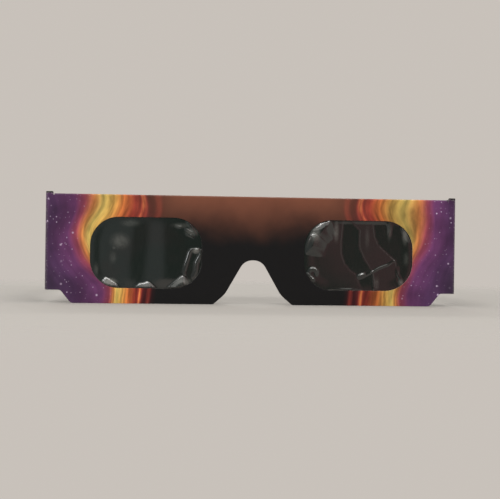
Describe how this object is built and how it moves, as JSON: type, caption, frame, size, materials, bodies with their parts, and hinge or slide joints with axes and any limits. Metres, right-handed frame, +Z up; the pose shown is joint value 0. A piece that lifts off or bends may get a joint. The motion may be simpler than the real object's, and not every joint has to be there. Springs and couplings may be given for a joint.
{
  "type": "eclipse glasses",
  "caption": "Folding card eclipse glasses with dark filter film in rounded windows, a flared nose notch and ear-hook temples that fold flat behind the front.",
  "frame": {"origin": "centre of the footprint of the open glasses, on the surface that they stand on", "axes": "+X to the wearer's left, along the front's width; +Y back along the temples, towards the wearer; +Z up, from the lower edge to the top edge. The front faces -Y."},
  "size_m": [0.146, 0.1282, 0.039],
  "materials": {
    "printed_card": "gloss print on card, dark in the middle, ember and violet towards the ends",
    "plain_card": "matte black card",
    "filter_film": "dark glossy film, slightly crinkled",
    "clear_glue": "thin dried adhesive"
  },
  "bodies": {
    "front": {"front_panel": "printed_card", "top_fold": "printed_card", "back_panel": "plain_card", "panel_glue": "clear_glue", "right_film": "filter_film", "left_film": "filter_film", "right_patch_glue": "clear_glue", "left_patch_glue": "clear_glue", "right_crease": "printed_card", "left_crease": "printed_card"},
    "right_temple": {"right_temple": "printed_card"},
    "left_temple": {"left_temple": "printed_card"}
  },
  "joints": [
    {"name": "right_temple_fold", "type": "hinge", "parent": "front", "child": "right_temple", "pos_m": [-0.07172, -0.06286, 0.022], "axis": [0, 0, -1], "range_deg": [-90, 90]},
    {"name": "left_temple_fold", "type": "hinge", "parent": "front", "child": "left_temple", "pos_m": [0.0721, -0.06324, 0.022], "axis": [0, 0, 1], "range_deg": [-90, 90]}
  ]
}
